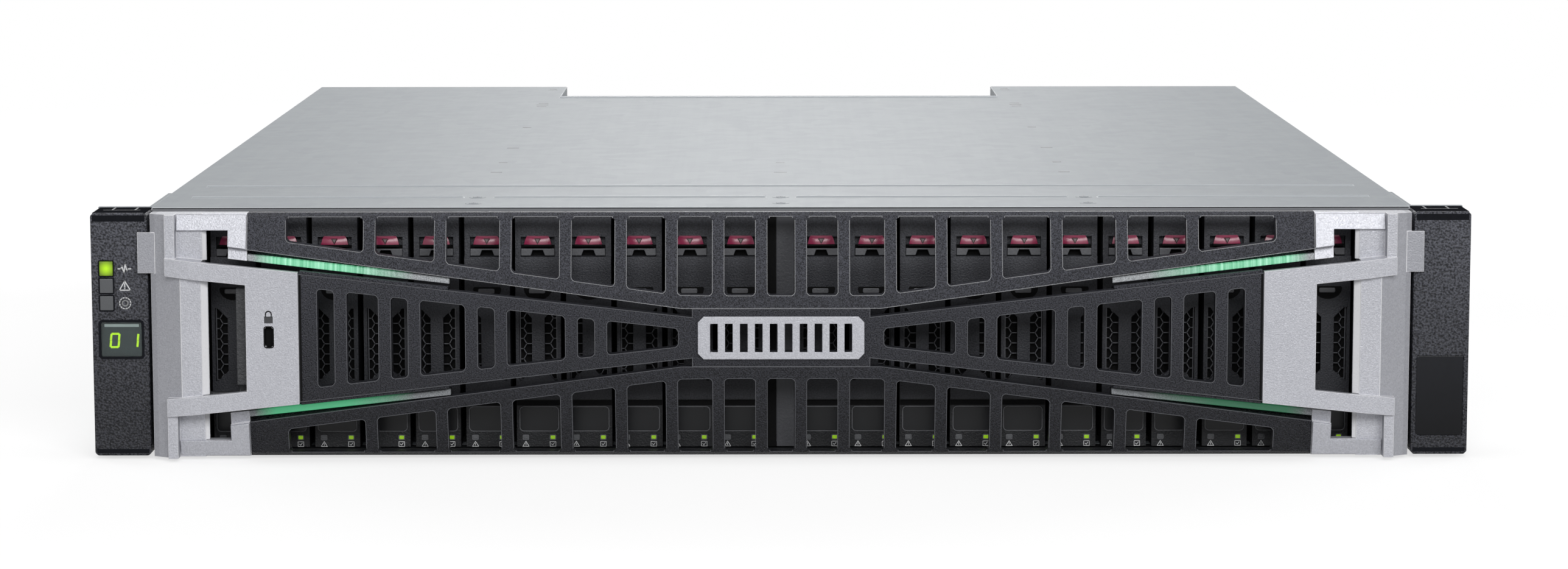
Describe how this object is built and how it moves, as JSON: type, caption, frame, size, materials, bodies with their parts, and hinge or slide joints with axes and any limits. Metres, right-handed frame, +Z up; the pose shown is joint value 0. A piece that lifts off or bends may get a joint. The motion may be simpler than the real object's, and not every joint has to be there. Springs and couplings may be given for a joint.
{
  "type": "storage array",
  "caption": "Two-unit rack storage array with slim front drives behind a removable crossed bezel, status display on one ear, and slide-out power and controller modules at the rear.",
  "frame": {"origin": "centre of the underside of the whole part's bounding box", "axes": "+X to the right as seen from the front, +Y from the front bezel to the rear, +Z up"},
  "size_m": [0.4826, 0.562, 0.088],
  "materials": {
    "galvanised_steel": "satin",
    "guide_plastic": "matte",
    "divider_grey": "satin",
    "circuit_board": "satin",
    "connector_black": "satin",
    "cap_black": "matte",
    "lens_clear": "gloss",
    "display_glass": "gloss",
    "display_dark": "gloss",
    "carrier_grey": "satin",
    "grille_dark": "matte",
    "bezel_silver": "satin",
    "light_guide": "gloss",
    "latch_dark": "matte",
    "spring_steel": "satin",
    "module_steel": "satin",
    "handle_black": "satin",
    "release_tab": "satin",
    "fan_black": "satin",
    "lever_grey": "satin"
  },
  "bodies": {
    "chassis": {"chassis_tray": "galvanised_steel", "top_cover": "galvanised_steel", "lower_drive_guide": "guide_plastic", "upper_drive_guide": "guide_plastic", "centre_divider": "divider_grey", "midplane_board": "circuit_board", "midplane_connectors": "connector_black", "module_bay_walls": "galvanised_steel", "ear_bracket_left": "galvanised_steel", "ear_bracket_right": "galvanised_steel", "ear_cap_left": "cap_black", "ear_cap_right": "cap_black", "status_lenses": "lens_clear", "display_window": "display_glass", "display_module": "display_dark"},
    "bezel": {"upper_grille": "grille_dark", "lower_grille": "grille_dark", "cross_grille": "grille_dark", "hub_plate": "bezel_silver", "bezel_end_left": "bezel_silver", "bezel_end_right": "bezel_silver", "light_strips": "light_guide", "latch_spring": "spring_steel"},
    "bezel_latch": {"bezel_latch": "latch_dark"},
    "psu_left": {"psu_left": "module_steel"},
    "psu_left_handle": {"psu_left_handle": "handle_black"},
    "psu_left_latch": {"psu_left_latch": "release_tab"},
    "psu_left_fan": {"psu_left_fan": "fan_black"},
    "psu_right": {"psu_right": "module_steel"},
    "psu_right_handle": {"psu_right_handle": "handle_black"},
    "psu_right_latch": {"psu_right_latch": "release_tab"},
    "psu_right_fan": {"psu_right_fan": "fan_black"},
    "controller_upper": {"controller_upper": "module_steel"},
    "controller_upper_lever": {"controller_upper_lever": "lever_grey"},
    "controller_lower": {"controller_lower": "module_steel"},
    "controller_lower_lever": {"controller_lower_lever": "lever_grey"},
    "drive_01": {"drive_01": "carrier_grey"},
    "drive_02": {"drive_02": "carrier_grey"},
    "drive_03": {"drive_03": "carrier_grey"},
    "drive_04": {"drive_04": "carrier_grey"},
    "drive_05": {"drive_05": "carrier_grey"},
    "drive_06": {"drive_06": "carrier_grey"},
    "drive_07": {"drive_07": "carrier_grey"},
    "drive_08": {"drive_08": "carrier_grey"},
    "drive_09": {"drive_09": "carrier_grey"},
    "drive_10": {"drive_10": "carrier_grey"},
    "drive_11": {"drive_11": "carrier_grey"},
    "drive_12": {"drive_12": "carrier_grey"},
    "drive_13": {"drive_13": "carrier_grey"},
    "drive_14": {"drive_14": "carrier_grey"},
    "drive_15": {"drive_15": "carrier_grey"},
    "drive_16": {"drive_16": "carrier_grey"},
    "drive_17": {"drive_17": "carrier_grey"},
    "drive_18": {"drive_18": "carrier_grey"},
    "drive_19": {"drive_19": "carrier_grey"},
    "drive_20": {"drive_20": "carrier_grey"},
    "drive_21": {"drive_21": "carrier_grey"},
    "drive_22": {"drive_22": "carrier_grey"},
    "drive_23": {"drive_23": "carrier_grey"},
    "drive_24": {"drive_24": "carrier_grey"}
  },
  "joints": [
    {"name": "bezel_swing", "type": "hinge", "parent": "chassis", "child": "bezel", "pos_m": [0.2247, -0.2714, 0.0437], "axis": [0, 0, 1], "range_deg": [0, 40]},
    {"name": "bezel_latch_slide", "type": "slide", "parent": "bezel", "child": "bezel_latch", "axis": [1, 0, 0], "range_m": [0, 0.0035], "stiffness_N_per_m": 2000, "deforming": ["latch_spring"]},
    {"name": "psu_left_slide", "type": "slide", "parent": "chassis", "child": "psu_left", "axis": [0, 1, 0], "range_m": [0, 0.395]},
    {"name": "psu_left_handle_swing", "type": "hinge", "parent": "psu_left", "child": "psu_left_handle", "pos_m": [-0.199, 0.2785, 0.0441], "axis": [-1, 0, 0], "range_deg": [0, 90]},
    {"name": "psu_left_latch_slide", "type": "slide", "parent": "psu_left", "child": "psu_left_latch", "axis": [1, 0, 0], "range_m": [0, 0.004], "stiffness_N_per_m": 2000},
    {"name": "psu_left_fan_spin", "type": "hinge", "parent": "psu_left", "child": "psu_left_fan", "pos_m": [-0.142, 0.24, 0.0431], "axis": [0, 1, 0], "continuous": true},
    {"name": "psu_right_slide", "type": "slide", "parent": "chassis", "child": "psu_right", "axis": [0, 1, 0], "range_m": [0, 0.395]},
    {"name": "psu_right_handle_swing", "type": "hinge", "parent": "psu_right", "child": "psu_right_handle", "pos_m": [0.125, 0.2785, 0.0441], "axis": [-1, 0, 0], "range_deg": [0, 90]},
    {"name": "psu_right_latch_slide", "type": "slide", "parent": "psu_right", "child": "psu_right_latch", "axis": [1, 0, 0], "range_m": [0, 0.004], "stiffness_N_per_m": 2000},
    {"name": "psu_right_fan_spin", "type": "hinge", "parent": "psu_right", "child": "psu_right_fan", "pos_m": [0.182, 0.24, 0.0431], "axis": [0, 1, 0], "continuous": true},
    {"name": "controller_upper_slide", "type": "slide", "parent": "chassis", "child": "controller_upper", "axis": [0, 1, 0], "range_m": [0, 0.335]},
    {"name": "controller_upper_lever_swing", "type": "hinge", "parent": "controller_upper", "child": "controller_upper_lever", "pos_m": [0.092, 0.217, 0.06525], "axis": [0, 0, -1], "range_deg": [0, 70]},
    {"name": "controller_lower_slide", "type": "slide", "parent": "chassis", "child": "controller_lower", "axis": [0, 1, 0], "range_m": [0, 0.335]},
    {"name": "controller_lower_lever_swing", "type": "hinge", "parent": "controller_lower", "child": "controller_lower_lever", "pos_m": [0.092, 0.217, 0.02215], "axis": [0, 0, -1], "range_deg": [0, 70]},
    {"name": "drive_01_slide", "type": "slide", "parent": "chassis", "child": "drive_01", "axis": [0, -1, 0], "range_m": [0, 0.006]},
    {"name": "drive_02_slide", "type": "slide", "parent": "chassis", "child": "drive_02", "axis": [0, -1, 0], "range_m": [0, 0.006]},
    {"name": "drive_03_slide", "type": "slide", "parent": "chassis", "child": "drive_03", "axis": [0, -1, 0], "range_m": [0, 0.006]},
    {"name": "drive_04_slide", "type": "slide", "parent": "chassis", "child": "drive_04", "axis": [0, -1, 0], "range_m": [0, 0.006]},
    {"name": "drive_05_slide", "type": "slide", "parent": "chassis", "child": "drive_05", "axis": [0, -1, 0], "range_m": [0, 0.006]},
    {"name": "drive_06_slide", "type": "slide", "parent": "chassis", "child": "drive_06", "axis": [0, -1, 0], "range_m": [0, 0.006]},
    {"name": "drive_07_slide", "type": "slide", "parent": "chassis", "child": "drive_07", "axis": [0, -1, 0], "range_m": [0, 0.006]},
    {"name": "drive_08_slide", "type": "slide", "parent": "chassis", "child": "drive_08", "axis": [0, -1, 0], "range_m": [0, 0.006]},
    {"name": "drive_09_slide", "type": "slide", "parent": "chassis", "child": "drive_09", "axis": [0, -1, 0], "range_m": [0, 0.006]},
    {"name": "drive_10_slide", "type": "slide", "parent": "chassis", "child": "drive_10", "axis": [0, -1, 0], "range_m": [0, 0.006]},
    {"name": "drive_11_slide", "type": "slide", "parent": "chassis", "child": "drive_11", "axis": [0, -1, 0], "range_m": [0, 0.006]},
    {"name": "drive_12_slide", "type": "slide", "parent": "chassis", "child": "drive_12", "axis": [0, -1, 0], "range_m": [0, 0.006]},
    {"name": "drive_13_slide", "type": "slide", "parent": "chassis", "child": "drive_13", "axis": [0, -1, 0], "range_m": [0, 0.006]},
    {"name": "drive_14_slide", "type": "slide", "parent": "chassis", "child": "drive_14", "axis": [0, -1, 0], "range_m": [0, 0.006]},
    {"name": "drive_15_slide", "type": "slide", "parent": "chassis", "child": "drive_15", "axis": [0, -1, 0], "range_m": [0, 0.006]},
    {"name": "drive_16_slide", "type": "slide", "parent": "chassis", "child": "drive_16", "axis": [0, -1, 0], "range_m": [0, 0.006]},
    {"name": "drive_17_slide", "type": "slide", "parent": "chassis", "child": "drive_17", "axis": [0, -1, 0], "range_m": [0, 0.006]},
    {"name": "drive_18_slide", "type": "slide", "parent": "chassis", "child": "drive_18", "axis": [0, -1, 0], "range_m": [0, 0.006]},
    {"name": "drive_19_slide", "type": "slide", "parent": "chassis", "child": "drive_19", "axis": [0, -1, 0], "range_m": [0, 0.006]},
    {"name": "drive_20_slide", "type": "slide", "parent": "chassis", "child": "drive_20", "axis": [0, -1, 0], "range_m": [0, 0.006]},
    {"name": "drive_21_slide", "type": "slide", "parent": "chassis", "child": "drive_21", "axis": [0, -1, 0], "range_m": [0, 0.006]},
    {"name": "drive_22_slide", "type": "slide", "parent": "chassis", "child": "drive_22", "axis": [0, -1, 0], "range_m": [0, 0.006]},
    {"name": "drive_23_slide", "type": "slide", "parent": "chassis", "child": "drive_23", "axis": [0, -1, 0], "range_m": [0, 0.006]},
    {"name": "drive_24_slide", "type": "slide", "parent": "chassis", "child": "drive_24", "axis": [0, -1, 0], "range_m": [0, 0.006]}
  ]
}
